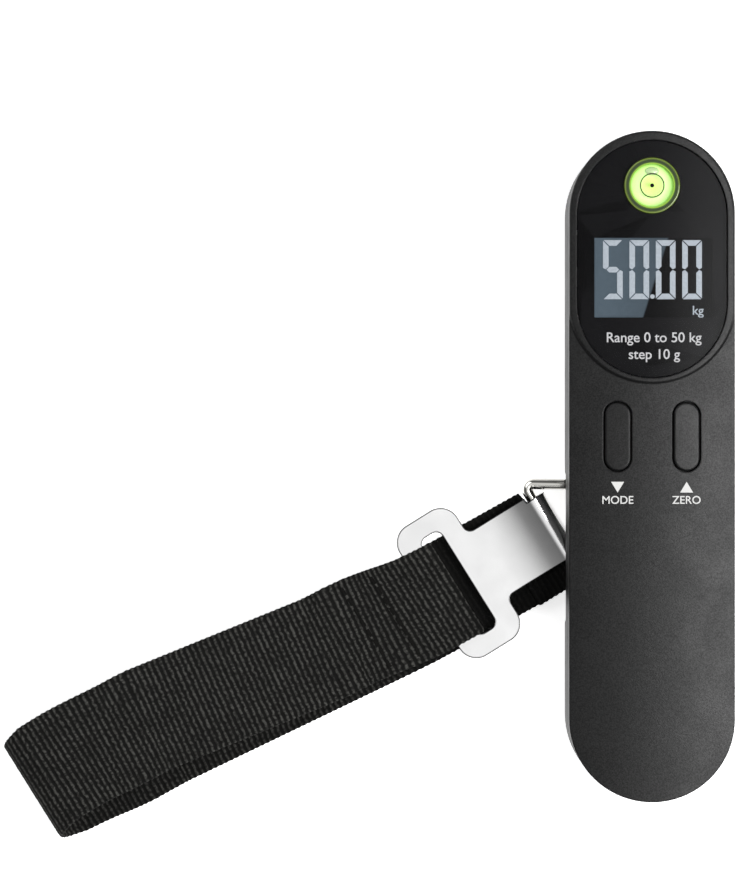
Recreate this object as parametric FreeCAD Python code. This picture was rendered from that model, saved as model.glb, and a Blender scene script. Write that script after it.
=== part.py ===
import FreeCAD, Part
import math
import os

os.makedirs("parts", exist_ok=True)

Vec = FreeCAD.Vector
UP = Vec(0, 0, 1)

# Digital luggage scale lying on its back.  Millimetres.
# +Z comes out of the display face, +Y runs towards the display end, and the
# origin is the middle of the housing in plan, on the flat of its back.

# ---- housing ----
BODY_LENGTH = 150.0
BODY_WIDTH = 37.0
BODY_HEIGHT = 24.0
END_RADIUS = BODY_WIDTH / 2
END_CENTRE = BODY_LENGTH / 2 - END_RADIUS
WALL = 1.8
SPLIT_Z = 15.0
SEAM = 0.35
BACK_FILLET = 4.0
FRONT_EDGE = 0.5
LOWER_FACE_Z = 23.5
INNER_FACE_Z = LOWER_FACE_Z - WALL

# ---- display area ----
POD_LOW_CENTRE = 37.4
POD_BEVEL = 0.5
WINDOW_RADIUS = 16.8
WINDOW_TOP_CENTRE = 56.1
WINDOW_LOW_CENTRE = 36.6
LENS_TOP = 23.8
LENS_THICKNESS = 1.0
MASK_THICKNESS = 0.15
MASK_BOTTOM = LENS_TOP - LENS_THICKNESS - MASK_THICKNESS
FLOOR_BOTTOM = 20.9
LCD_CENTRE_Y = 42.2
LCD_CENTRE_X = 0.35
LCD_VIEW = (26.4, 17.8)
LCD_GLASS = (30.0, 21.0, 1.6)
LCD_TOP = 22.5
BACKLIGHT = (27.0, 18.6, 2.4)
DIGIT_SIZE = (4.4, 13.2)
DIGIT_PITCH = 5.9
STROKE = 1.25
STROKE_GAP = 0.16
SEGMENT_THICKNESS = 0.06

# ---- bubble level ----
LEVEL_Y = 62.75
LEVEL_RADIUS = 6.25
LEVEL_INNER = 4.8
LEVEL_BOTTOM = 16.6
LEVEL_CAP = 0.9

# ---- buttons ----
BUTTON_X = 7.7
BUTTON_Y = 6.7
BUTTON_WIDTH = 5.8
BUTTON_LENGTH = 15.3
BUTTON_GAP = 0.3
BUTTON_TOP = 24.0
BUTTON_TRAVEL = 0.5
FLANGE_GAP = 0.3
FLANGE_THICKNESS = 0.8
SWITCH_SIZE = (6.0, 6.0, 2.6)
PLUNGER_RADIUS = 1.7
MARK_Y = -4.6
MARK_THICKNESS = 0.05

# ---- circuit board ----
BOARD_BOTTOM = 14.4
BOARD_THICKNESS = 1.2
BOARD_TOP = BOARD_BOTTOM + BOARD_THICKNESS
BOARD_HALF_WIDTH = 15.2
BOARD_LOW_Y = -31.0
BOARD_HIGH_Y = 69.0

# ---- back recess, load cell and load eye ----
PIVOT_Y = -6.0
WIRE_Z = 3.6
RECESS_HIGH_Y = -0.7
RECESS_LOW_Y = -35.0
RECESS_DRAFT = 1.2
RECESS_ROOF = 7.6
CELL_BOTTOM = 10.3
CELL_THICKNESS = 3.0
CELL_WIDTH = 12.0
CELL_LOW_Y = -12.0
CELL_HIGH_Y = 29.0
CELL_SCREW_YS = (18.0, 25.0)
EYE_OUTER = 3.45
EYE_HOLE = 1.95
EYE_THICKNESS = 2.0
STEM_RADIUS = 2.0
NUT_FLATS = 7.0

# ---- battery bay ----
BAY_Y = -51.5
DOOR_RADIUS = 12.0
DOOR_GAP = 0.3
LUG_RADIUS = 13.3
GROOVE_RADIUS = 13.8
CELL_RADIUS = 10.0
COIN_HEIGHT = 3.2
COIN_BOTTOM = 3.5
BAY_RADIUS = 10.6
BAY_ROOF = 7.8

# ---- housing screws ----
SCREWS = ((11.5, 58.0), (-11.5, 58.0), (9.0, -66.8), (-9.0, -66.8))
BOSS_RADIUS = 2.7

# ---- ring, buckle and strap, laid out from the ring's pivot ----
STRAP_ANGLE = 212.0
WIRE_RADIUS = 1.25
BAR_U = 22.8
RING_HALF = 16.6
APEX_SHARP = 2.5
CORNER_RADIUS = 1.35
WEB_THICKNESS = 1.1
WEB_WIDTH = 25.0
RUNNING_GAP = 0.08
PLATE_THICKNESS = 0.7
ROLL_RADIUS = WIRE_RADIUS + RUNNING_GAP + WEB_THICKNESS + 0.02 + PLATE_THICKNESS
PLATE_V = -5.1
NECK_HALF = 8.5
HOOK_HALF = 17.4
CROSSBAR_U = 39.5
SLOT_U = 44.6
PRONG_U = 49.9
TIP_END_U = 55.0
SLOT_HALF = 12.8
TIP_INNER_HALF = 7.6
FRONT_PLATE_Z = 3.5
ROLL_LEAVE = 20.5
NECK_START = 13.8
BACK_PLATE_LENGTH = 13.0

# ---- run of the webbing: heights, sideways centres and turns ----
LOWER_Z = 0.6
BETWEEN_Z = 1.75
TAIL_LENGTH = 10.5
WRAP_RADIUS = WIRE_RADIUS + RUNNING_GAP + WEB_THICKNESS / 2
WRAP_CENTRE = -1.9
WRAP_HALF = 11.3
LOWER_CENTRE = -2.8
WEB_HALF = WEB_WIDTH / 2
BIGHT_U = 149.4
BIGHT_RADIUS = 5.0
LOOP_U = 49.4
LOOP_RADIUS = 1.1
PRONG_MID_Z = FRONT_PLATE_Z + PLATE_THICKNESS / 2
SEWN_U = 72.0


def save(name, shape):
    """Write one node, checked, as a STEP file."""
    if not shape.isValid():
        shape.fix(0.001, 0.001, 0.001)
    print(name, "solids", len(shape.Solids), "volume", round(shape.Volume, 1), shape.isValid())
    shape.exportStep("parts/" + name + ".step")


def box(x0, x1, y0, y1, z0, z1):
    return Part.makeBox(x1 - x0, y1 - y0, z1 - z0, Vec(x0, y0, z0))


def tube(x, y, z0, z1, radius):
    return Part.makeCylinder(radius, z1 - z0, Vec(x, y, z0))


def stadium(x, y_low, y_high, radius, z0, z1):
    """Upright slab with two round ends whose centres are y_low and y_high."""
    low = Vec(x, y_low, z0)
    high = Vec(x, y_high, z0)
    side = Vec(radius, 0, 0)
    edges = [
        Part.makeLine(low + side, high + side),
        Part.Arc(high + side, high + Vec(0, radius, 0), high - side).toShape(),
        Part.makeLine(high - side, low - side),
        Part.Arc(low - side, low - Vec(0, radius, 0), low + side).toShape(),
    ]
    return Part.Face(Part.Wire(edges)).extrude(Vec(0, 0, z1 - z0))


def rounded_box(x0, x1, y0, y1, z0, z1, radius):
    slab = box(x0, x1, y0, y1, z0, z1)
    upright = [e for e in slab.Edges if abs(e.BoundBox.ZLength - (z1 - z0)) < 1e-6]
    return slab.makeFillet(radius, upright)


def polygon_prism(points, z0, z1):
    wire = Part.makePolygon([Vec(x, y, z0) for x, y in points + points[:1]])
    return Part.Face(wire).extrude(Vec(0, 0, z1 - z0))


def edges_at(shape, z):
    """Edges that lie flat at one height."""
    found = []
    for edge in shape.Edges:
        limits = edge.BoundBox
        if abs(limits.ZMin - z) < 1e-4 and abs(limits.ZMax - z) < 1e-4:
            found.append(edge)
    return found


def fuse(shapes):
    return shapes[0].fuse(shapes[1:]).removeSplitter()


def wire_tube(points, radius, bend):
    """Round wire through points, straight runs joined by tangent arcs."""
    corners = [Vec(*p) for p in points]
    edges = []
    start = corners[0]
    for before, corner, after in zip(corners, corners[1:], corners[2:]):
        back = (before - corner).normalize()
        ahead = (after - corner).normalize()
        half = back.getAngle(ahead) / 2
        room = 0.45 * min((before - corner).Length, (after - corner).Length)
        reach = min(bend / math.tan(half), room)
        size = reach * math.tan(half)
        middle = (back + ahead).normalize()
        centre = corner + middle * (size / math.sin(half))
        first = corner + back * reach
        last = corner + ahead * reach
        edges.append(Part.makeLine(start, first))
        edges.append(Part.Arc(first, centre - middle * size, last).toShape())
        start = last
    edges.append(Part.makeLine(start, corners[-1]))
    path = Part.Wire(edges)
    section = Part.Wire(Part.makeCircle(radius, corners[0], corners[1] - corners[0]))
    return path.makePipeShell([section], True, False)


# ------------------------------------------------------------------ housing
def screw_holes(shape, radius, z0, z1):
    return shape.cut([tube(x, y, z0, z1, radius) for x, y in SCREWS])


def recess_cut(grow):
    """Channel across the back, wider at the mouth than at the roof."""
    high = RECESS_HIGH_Y + grow
    low = RECESS_LOW_Y - grow
    roof = RECESS_ROOF + grow
    side = BODY_WIDTH
    points = [
        Vec(-side, low - RECESS_DRAFT, 0),
        Vec(-side, high, 0),
        Vec(-side, high - RECESS_DRAFT, roof),
        Vec(-side, low, roof),
    ]
    face = Part.Face(Part.makePolygon(points + points[:1]))
    channel = face.extrude(Vec(2 * side, 0, 0))
    along = [e for e in channel.Edges if e.BoundBox.XLength > side and e.BoundBox.ZMin > roof - 0.1]
    return channel.makeFillet(1.2 + grow, along)


def lug(angle, inner, outer, half_width, z0, z1):
    block = box(inner, outer, -half_width, half_width, z0, z1)
    rim = tube(0, 0, z0, z1, outer)
    block = block.common(rim)
    block.rotate(Vec(0, 0, 0), UP, angle)
    block.translate(Vec(0, BAY_Y, 0))
    return block


def back_housing():
    outer = stadium(0, -END_CENTRE, END_CENTRE, END_RADIUS, 0, SPLIT_Z)
    outer = outer.makeFillet(BACK_FILLET, edges_at(outer, 0))
    seam_edges = edges_at(outer, SPLIT_Z)
    outer = outer.makeChamfer(SEAM, seam_edges)
    inner = stadium(0, -END_CENTRE, END_CENTRE, END_RADIUS - WALL, WALL, SPLIT_Z + 1)
    inner = inner.makeFillet(BACK_FILLET - WALL, edges_at(inner, WALL))
    shell = outer.cut(inner)
    recess_wall = recess_cut(WALL).common(outer)
    bay = tube(0, BAY_Y, 0, BAY_ROOF + 1.2, GROOVE_RADIUS + 1.2).common(outer)
    bosses = []
    for x, y in SCREWS:
        bosses.append(tube(x, y, 0.5, SPLIT_Z - 1.2, BOSS_RADIUS).common(outer))
    for y in CELL_SCREW_YS:
        bosses.append(box(-CELL_WIDTH / 2, CELL_WIDTH / 2, y - 3.4, y + 3.4, WALL - 0.5, CELL_BOTTOM))
    body = fuse([shell, recess_wall, bay] + bosses)
    body = body.cut(recess_cut(0))
    body = body.cut(tube(0, PIVOT_Y, 0, 12, STEM_RADIUS + 1.6))
    # bayonet opening: door bore, lug groove, two entry slots, then the coin cell bore
    body = body.cut(tube(0, BAY_Y, -1, COIN_BOTTOM - 0.1, DOOR_RADIUS + DOOR_GAP))
    body = body.cut(tube(0, BAY_Y, 1.7, COIN_BOTTOM - 0.1, GROOVE_RADIUS))
    body = body.cut(tube(0, BAY_Y, 0, BAY_ROOF - 0.6, BAY_RADIUS))
    for angle in (45.0, 225.0):
        body = body.cut(lug(angle, 9.0, GROOVE_RADIUS, 3.2, -1, 2.5))
    # side slot for the positive strip and roof hole for the negative finger
    body = body.cut(box(-2.6, 2.6, BAY_Y + 9, BAY_Y + 11.9, COIN_BOTTOM - 0.1, BAY_ROOF + 2))
    body = body.cut(tube(0, BAY_Y - 5, BAY_ROOF - 2, BAY_ROOF + 2, 1.6))
    body = screw_holes(body, 1.3, -1, SPLIT_Z + 1)
    body = screw_holes(body, 2.4, -1, 4.0)
    for y in CELL_SCREW_YS:
        body = body.cut(tube(0, y, CELL_BOTTOM - 5.5, CELL_BOTTOM + 1, 1.25))
    return body


def front_housing():
    pod = stadium(0, -END_CENTRE, END_CENTRE, END_RADIUS, SPLIT_Z, BODY_HEIGHT)
    pod = pod.makeChamfer(SEAM, edges_at(pod, SPLIT_Z))
    pod = pod.makeFillet(FRONT_EDGE, edges_at(pod, BODY_HEIGHT))
    # the face below the display pod is a step lower, with a bevel round the pod
    lowered = box(-20, 20, -80, POD_LOW_CENTRE, LOWER_FACE_Z, BODY_HEIGHT + 1)
    keep = Part.makeCone(
        END_RADIUS + POD_BEVEL, END_RADIUS - 0.02, BODY_HEIGHT - LOWER_FACE_Z,
        Vec(0, POD_LOW_CENTRE, LOWER_FACE_Z),
    )
    outer = pod.cut(lowered.cut(keep))
    inner = stadium(0, -END_CENTRE, END_CENTRE, END_RADIUS - WALL, SPLIT_Z - 1, INNER_FACE_Z)
    shell = outer.cut(inner)
    floor = stadium(
        0, WINDOW_LOW_CENTRE, END_CENTRE, END_RADIUS - WALL + 0.2, FLOOR_BOTTOM, MASK_BOTTOM
    )
    bosses = []
    for x, y in SCREWS:
        bosses.append(tube(x, y, SPLIT_Z - 1.0, INNER_FACE_Z + 0.3, BOSS_RADIUS - 0.2))
    body = fuse([shell, floor] + bosses)
    pocket = stadium(
        0, WINDOW_LOW_CENTRE, WINDOW_TOP_CENTRE, WINDOW_RADIUS + 0.05, MASK_BOTTOM, BODY_HEIGHT + 1
    )
    body = body.cut(pocket)
    half_x = LCD_GLASS[0] / 2 + 0.2
    half_y = LCD_GLASS[1] / 2 + 0.2
    body = body.cut(box(
        LCD_CENTRE_X - half_x, LCD_CENTRE_X + half_x,
        LCD_CENTRE_Y - half_y, LCD_CENTRE_Y + half_y, FLOOR_BOTTOM - 1, MASK_BOTTOM + 1,
    ))
    body = body.cut(tube(0, LEVEL_Y, FLOOR_BOTTOM - 1, BODY_HEIGHT, LEVEL_RADIUS + 0.1))
    for side in (-1, 1):
        body = body.cut(button_slab(side, BUTTON_GAP, INNER_FACE_Z - 1, BODY_HEIGHT + 1))
    return screw_holes(body, 0.95, SPLIT_Z - 2, INNER_FACE_Z - 1.2)


def screws():
    made = []
    for x, y in SCREWS:
        head = tube(x, y, 2.3, 4.0, 2.05)
        head = head.makeFillet(0.5, edges_at(head, 2.3))
        cross = fuse([
            box(x - 1.2, x + 1.2, y - 0.25, y + 0.25, 2, 3.1),
            box(x - 0.25, x + 0.25, y - 1.2, y + 1.2, 2, 3.1),
        ])
        shank = tube(x, y, 4.0, SPLIT_Z + 4.6, 0.95)
        made.append(fuse([head, shank]).cut(cross))
    return Part.makeCompound(made)


# ------------------------------------------------------------------ display
def lens():
    slab = stadium(
        0, WINDOW_LOW_CENTRE, WINDOW_TOP_CENTRE, WINDOW_RADIUS, LENS_TOP - LENS_THICKNESS, LENS_TOP
    )
    slab = slab.makeFillet(0.25, edges_at(slab, LENS_TOP))
    return slab.cut(tube(0, LEVEL_Y, LENS_TOP - 2, LENS_TOP + 1, LEVEL_RADIUS + 0.1))


def mask():
    slab = stadium(
        0, WINDOW_LOW_CENTRE, WINDOW_TOP_CENTRE, WINDOW_RADIUS - 0.1,
        MASK_BOTTOM, MASK_BOTTOM + MASK_THICKNESS,
    )
    slab = slab.cut(tube(0, LEVEL_Y, MASK_BOTTOM - 1, LENS_TOP, LEVEL_RADIUS + 0.1))
    half_x = LCD_VIEW[0] / 2
    half_y = LCD_VIEW[1] / 2
    return slab.cut(box(
        LCD_CENTRE_X - half_x, LCD_CENTRE_X + half_x,
        LCD_CENTRE_Y - half_y, LCD_CENTRE_Y + half_y, MASK_BOTTOM - 1, LENS_TOP,
    ))


def centred_box(size, z0):
    return box(
        LCD_CENTRE_X - size[0] / 2, LCD_CENTRE_X + size[0] / 2,
        LCD_CENTRE_Y - size[1] / 2, LCD_CENTRE_Y + size[1] / 2, z0, z0 + size[2],
    )


def flat_stroke(x, y, points, mirror_x=1, mirror_y=1):
    moved = [(x + a * mirror_x, y + b * mirror_y) for a, b in points]
    return polygon_prism(moved, LCD_TOP, LCD_TOP + SEGMENT_THICKNESS)


def digit(x, y, lit):
    """Seven-segment figure centred on x, y; lit holds letters a to g."""
    wide = DIGIT_SIZE[0] / 2
    tall = DIGIT_SIZE[1] / 2
    inner = wide - STROKE
    end = wide - STROKE_GAP
    cap = [(-end, tall), (end, tall), (end - STROKE, tall - STROKE), (STROKE - end, tall - STROKE)]
    side = [
        (-wide, tall - STROKE_GAP), (-inner, tall - STROKE - STROKE_GAP),
        (-inner, STROKE / 2 + STROKE_GAP / 2), (-wide + STROKE / 2, STROKE_GAP / 2),
        (-wide, STROKE / 4 + STROKE_GAP / 2),
    ]
    thick = STROKE / 2
    middle = [
        (-wide + thick + STROKE_GAP, 0), (-inner + STROKE_GAP, thick), (inner - STROKE_GAP, thick),
        (wide - thick - STROKE_GAP, 0), (inner - STROKE_GAP, -thick), (-inner + STROKE_GAP, -thick),
    ]
    strokes = {
        "a": (cap, 1, 1), "d": (cap, 1, -1), "f": (side, 1, 1), "b": (side, -1, 1),
        "e": (side, 1, -1), "c": (side, -1, -1), "g": (middle, 1, 1),
    }
    return [flat_stroke(x, y, *strokes[letter]) for letter in lit]


def segments():
    first = LCD_CENTRE_X - 9.05
    y = LCD_CENTRE_Y + 1.8
    made = digit(first, y, "afgcd")
    for place in (1, 2, 3):
        made += digit(first + place * DIGIT_PITCH, y, "abcdef")
    dot_x = first + 1.5 * DIGIT_PITCH
    made.append(tube(dot_x, y - DIGIT_SIZE[1] / 2 + 0.6, LCD_TOP, LCD_TOP + SEGMENT_THICKNESS, 0.5))
    return Part.makeCompound(made)


def lcd_frame():
    """Moulded carrier between the board and the glass."""
    outer = centred_box((29.6, 20.6, LCD_TOP - LCD_GLASS[2] - BOARD_TOP), BOARD_TOP)
    inner = centred_box((27.4, 19.0, 20), BOARD_TOP - 1)
    shelf = centred_box((27.4, 19.0, 1.0), BOARD_TOP + 1.4)
    return fuse([outer.cut(inner), shelf])


# ------------------------------------------------------------------ level
def level_cup():
    top = LENS_TOP
    cup = tube(0, LEVEL_Y, LEVEL_BOTTOM, top, LEVEL_RADIUS)
    cup = cup.makeFillet(0.3, edges_at(cup, top))
    return cup.cut(tube(0, LEVEL_Y, LEVEL_BOTTOM + 1.2, top + 1, LEVEL_INNER))


def level_bubble():
    ball = Part.makeSphere(1.0)
    squash = FreeCAD.Matrix()
    squash.scale(1.55, 0.95, 0.45)
    ball = ball.transformGeometry(squash)
    ball.translate(Vec(0, LEVEL_Y + 3.3, LENS_TOP - LEVEL_CAP - 0.5))
    return ball


def level_liquid():
    pool = tube(0, LEVEL_Y, LEVEL_BOTTOM + 1.2, LENS_TOP - LEVEL_CAP, LEVEL_INNER)
    return pool.cut(level_bubble())


def level_cap():
    return tube(0, LEVEL_Y, LENS_TOP - LEVEL_CAP, LENS_TOP - 0.1, LEVEL_INNER)


def level_target():
    z0 = LENS_TOP - 0.1
    ring = tube(0, LEVEL_Y, z0, z0 + 0.05, 2.75).cut(tube(0, LEVEL_Y, z0 - 1, z0 + 1, 2.5))
    dot = tube(0, LEVEL_Y, z0, z0 + 0.05, 0.45)
    return Part.makeCompound([ring, dot])


# ------------------------------------------------------------------ buttons
def button_slab(side, grow, z0, z1):
    radius = BUTTON_WIDTH / 2
    reach = BUTTON_LENGTH / 2 - radius
    return stadium(
        side * BUTTON_X, BUTTON_Y - reach, BUTTON_Y + reach, radius + grow, z0, z1
    )


def button(side):
    flange_top = INNER_FACE_Z - FLANGE_GAP
    flange_bottom = flange_top - FLANGE_THICKNESS
    cap = button_slab(side, 0, flange_bottom, BUTTON_TOP)
    cap = cap.makeFillet(0.45, edges_at(cap, BUTTON_TOP))
    flange = button_slab(side, 1.0, flange_bottom, flange_top)
    stem_bottom = BOARD_TOP + SWITCH_SIZE[2] + BUTTON_TRAVEL + 0.4
    stem = tube(side * BUTTON_X, BUTTON_Y, stem_bottom, flange_bottom + 0.2, 1.5)
    return fuse([cap, flange, stem])


def plunger(side):
    top = BOARD_TOP + SWITCH_SIZE[2] + BUTTON_TRAVEL + 0.4
    return tube(side * BUTTON_X, BUTTON_Y, BOARD_TOP + 1.0, top, PLUNGER_RADIUS)


def switches():
    made = []
    for side in (-1, 1):
        x = side * BUTTON_X
        case = rounded_box(
            x - SWITCH_SIZE[0] / 2, x + SWITCH_SIZE[0] / 2,
            BUTTON_Y - SWITCH_SIZE[1] / 2, BUTTON_Y + SWITCH_SIZE[1] / 2,
            BOARD_TOP, BOARD_TOP + SWITCH_SIZE[2], 0.4,
        )
        made.append(case.cut(tube(x, BUTTON_Y, BOARD_TOP + 0.2, BOARD_TOP + 5, PLUNGER_RADIUS + 0.3)))
    return Part.makeCompound(made)


def triangle_mark(side, upward):
    half = 1.45
    tall = 2.4
    x = side * BUTTON_X
    turn = 1 if upward else -1
    points = [(x - half, MARK_Y - turn * tall / 2), (x + half, MARK_Y - turn * tall / 2),
              (x, MARK_Y + turn * tall / 2)]
    return polygon_prism(points, LOWER_FACE_Z, LOWER_FACE_Z + MARK_THICKNESS)


# ------------------------------------------------------------------ board
def board():
    slab = rounded_box(
        -BOARD_HALF_WIDTH, BOARD_HALF_WIDTH, BOARD_LOW_Y, 50, BOARD_BOTTOM, BOARD_TOP, 2.0
    )
    end = rounded_box(-9.0, 9.0, 40, BOARD_HIGH_Y, BOARD_BOTTOM, BOARD_TOP, 2.0)
    slab = fuse([slab, end])
    return slab.cut(tube(0, PIVOT_Y, BOARD_BOTTOM - 1, BOARD_TOP + 1, 5.2))


def components():
    z = BOARD_TOP
    made = [box(-5.0, 5.0, 17.0, 27.0, z, z + 1.4)]
    for x, y in ((-10.5, 20.0), (-10.5, 23.5), (10.5, 20.0), (10.5, 23.5), (11.0, -18.0)):
        made.append(box(x - 1.0, x + 1.0, y - 0.6, y + 0.6, z, z + 0.8))
    made.append(rounded_box(-11.0, -3.0, -20.0, -16.5, z, z + 2.2, 0.8))
    return Part.makeCompound(made)


# ------------------------------------------------------------------ load path
def load_cell():
    half = CELL_WIDTH / 2
    top = CELL_BOTTOM + CELL_THICKNESS
    bar = rounded_box(-half, half, CELL_LOW_Y, CELL_HIGH_Y, CELL_BOTTOM, top, 1.5)
    for y in (2.5, 9.5):
        bar = bar.cut(Part.makeCylinder(1.0, 40, Vec(-20, y, CELL_BOTTOM + 1.5), Vec(1, 0, 0)))
    bar = bar.cut(box(-half, half, 2.5, 9.5, CELL_BOTTOM + 1.1, CELL_BOTTOM + 1.9))
    bar = bar.cut(tube(0, PIVOT_Y, CELL_BOTTOM - 1, top + 1, STEM_RADIUS + 0.02))
    for y in CELL_SCREW_YS:
        bar = bar.cut(tube(0, y, CELL_BOTTOM - 1, top + 1, 1.6))
    return bar


def gauges():
    z = CELL_BOTTOM + CELL_THICKNESS
    return Part.makeCompound([
        box(-2.0, 2.0, 0.5, 5.0, z, z + 0.12),
        box(-2.0, 2.0, 7.0, 11.5, z, z + 0.12),
    ])


def cell_screws():
    made = []
    top = CELL_BOTTOM + CELL_THICKNESS
    for y in CELL_SCREW_YS:
        head = tube(0, y, top, top + 0.9, 2.6)
        shank = tube(0, y, CELL_BOTTOM - 4.5, top + 0.1, 1.25)
        slot = box(-3, 3, y - 0.3, y + 0.3, top + 0.4, top + 2)
        made.append(fuse([head, shank]).cut(slot))
    return Part.makeCompound(made)


def load_eye():
    """Closed eye square to the ring wire, on a collar and a threaded stem."""
    centre = Vec(0, PIVOT_Y, WIRE_Z)
    across = Vec(-math.sin(math.radians(STRAP_ANGLE)), math.cos(math.radians(STRAP_ANGLE)), 0)
    start = centre - across * (EYE_THICKNESS / 2)
    disc = Part.makeCylinder(EYE_OUTER, EYE_THICKNESS, start, across)
    neck = tube(0, PIVOT_Y, WIRE_Z + 2.3, RECESS_ROOF + 0.6, 1.9)
    collar = tube(0, PIVOT_Y, RECESS_ROOF + 0.4, CELL_BOTTOM, 3.0)
    stem = tube(0, PIVOT_Y, RECESS_ROOF, CELL_BOTTOM + CELL_THICKNESS + 4.4, STEM_RADIUS)
    hole = Part.makeCylinder(EYE_HOLE, EYE_THICKNESS + 4, start - across * 2, across)
    rim = hole.common(disc)
    disc = disc.cut(rim)
    inner = [e for e in disc.Edges if e.Length < 2 * math.pi * EYE_HOLE + 0.2 and e.Length > 9]
    disc = disc.makeFillet(0.45, inner)
    return fuse([disc, neck.cut(hole), collar, stem])


def hex_prism(x, y, z0, z1, flats):
    corner = flats / math.sqrt(3)
    points = []
    for step in range(6):
        angle = math.radians(60 * step)
        points.append((x + corner * math.cos(angle), y + corner * math.sin(angle)))
    return polygon_prism(points, z0, z1)


def eye_washer():
    z = CELL_BOTTOM + CELL_THICKNESS
    return tube(0, PIVOT_Y, z, z + 0.6, 4.2).cut(tube(0, PIVOT_Y, z - 1, z + 2, STEM_RADIUS + 0.05))


def eye_nut():
    z = CELL_BOTTOM + CELL_THICKNESS + 0.6
    nut = hex_prism(0, PIVOT_Y, z, z + 3.0, NUT_FLATS)
    return nut.cut(tube(0, PIVOT_Y, z - 1, z + 5, STEM_RADIUS + 0.01))


# ------------------------------------------------------------------ battery
def battery_door():
    disc = tube(0, BAY_Y, 0.1, 1.5, DOOR_RADIUS)
    disc = disc.makeFillet(0.3, edges_at(disc, 0.1))
    hub = tube(0, BAY_Y, 1.5, 3.1, DOOR_RADIUS - 0.5).cut(tube(0, BAY_Y, 2.2, 4, DOOR_RADIUS - 2.5))
    lugs = [lug(angle, 10.0, LUG_RADIUS, 2.7, 2.0, 3.1) for angle in (0.0, 180.0)]
    door = fuse([disc, hub] + lugs)
    slot = stadium(0, -6.5, 6.5, 0.9, 0, 1.1)
    slot.rotate(Vec(0, 0, 0), UP, 90)
    slot.translate(Vec(0, BAY_Y, 0))
    return door.cut(slot)


def coin_cell():
    can = tube(0, BAY_Y, COIN_BOTTOM, COIN_BOTTOM + 2.4, CELL_RADIUS)
    can = can.makeFillet(0.3, edges_at(can, COIN_BOTTOM))
    lid = tube(0, BAY_Y, COIN_BOTTOM + 2.4, COIN_BOTTOM + COIN_HEIGHT, CELL_RADIUS - 1.4)
    return fuse([can, lid])


def negative_contact():
    z = COIN_BOTTOM + COIN_HEIGHT
    leaf = box(-1.5, 1.5, BAY_Y - 6.0, BAY_Y + 3.0, z, z + 0.3)
    post = tube(0, BAY_Y - 5, z, BAY_ROOF + 3.0, 1.0)
    return fuse([leaf, post])


def positive_contact():
    y = BAY_Y + CELL_RADIUS
    strip = box(-2.0, 2.0, y, y + 0.4, COIN_BOTTOM, BAY_ROOF + 3.0)
    tab = box(-2.0, 2.0, y, y + 1.6, BAY_ROOF + 2.6, BAY_ROOF + 3.0)
    return fuse([strip, tab])


# ------------------------------------------------------------------ ring, buckle, strap
def place_strap(shape):
    """Turn a piece laid out along +X from the pivot into its place."""
    moved = shape.copy()
    moved.rotate(Vec(0, 0, 0), UP, STRAP_ANGLE)
    moved.translate(Vec(0, PIVOT_Y, 0))
    return moved


def ring():
    """Triangle of round wire; its apex runs through the load eye."""
    slope = math.atan2(RING_HALF, BAR_U + APEX_SHARP)
    apex = APEX_SHARP * math.sin(slope) / (1 - math.sin(slope))
    corners = [Vec(-APEX_SHARP, 0, WIRE_Z), Vec(BAR_U, RING_HALF, WIRE_Z), Vec(BAR_U, -RING_HALF, WIRE_Z)]
    radii = [apex, CORNER_RADIUS, CORNER_RADIUS]
    bends = []
    for place in range(3):
        corner = corners[place]
        back = (corners[place - 1] - corner).normalize()
        ahead = (corners[(place + 1) % 3] - corner).normalize()
        half = back.getAngle(ahead) / 2
        reach = radii[place] / math.tan(half)
        middle = (back + ahead).normalize()
        crown = corner + middle * (radii[place] / math.sin(half) - radii[place])
        bends.append((corner + back * reach, crown, corner + ahead * reach))
    edges = []
    for place in range(3):
        entry, crown, leave = bends[place]
        edges.append(Part.Arc(entry, crown, leave).toShape())
        edges.append(Part.makeLine(leave, bends[(place + 1) % 3][0]))
    path = Part.Wire(Part.__sortEdges__(edges))
    first = path.OrderedEdges[1]
    begin = first.valueAt(first.FirstParameter)
    along = first.tangentAt(first.FirstParameter)
    section = Part.Wire(Part.makeCircle(WIRE_RADIUS, begin, along))
    return place_strap(path.makePipeShell([section], True, False))


def band(stations, half_thickness):
    """Closed strip lofted through (u, z, pitch, centre, half width) stations.

    pitch is the direction of travel in the upright plane, in degrees, and the
    width lies across it, turned in plan to follow the centre line."""
    sections = []
    for place, (u, z, pitch, centre, half) in enumerate(stations):
        before = stations[max(place - 1, 0)]
        after = stations[min(place + 1, len(stations) - 1)]
        run = after[0] - before[0]
        drift = (after[3] - before[3]) / run if abs(run) > 2.0 else 0.0
        yaw = max(-0.3, min(0.3, math.atan(drift)))
        across = Vec(-math.sin(yaw), math.cos(yaw), 0)
        rise = math.radians(pitch)
        normal = Vec(-math.sin(rise), 0, math.cos(rise))
        middle = Vec(u, centre, z)
        points = []
        for side, face in ((-1, -1), (1, -1), (1, 1), (-1, 1)):
            points.append(middle + across * (side * half) + normal * (face * half_thickness))
        sections.append(Part.makePolygon(points + points[:1]))
    return Part.makeLoft(sections, True, True)


def ease(t):
    return t * t * (3 - 2 * t)


def blend_run(start, stop, z0, z1, centre0, centre1, half0, half1, steps, forward=True):
    """Stations of a smooth rise or fall between two u positions, ends left out."""
    made = []
    for step in range(1, steps):
        t = step / steps
        u = start + (stop - start) * t
        z = z0 + (z1 - z0) * ease(t)
        slope = (z1 - z0) * 6 * t * (1 - t) / (stop - start)
        pitch = math.degrees(math.atan(slope))
        if not forward:
            pitch += 180
        centre = centre0 + (centre1 - centre0) * t
        half = half0 + (half1 - half0) * t
        made.append((u, z, pitch, centre, half))
    return made


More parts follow.
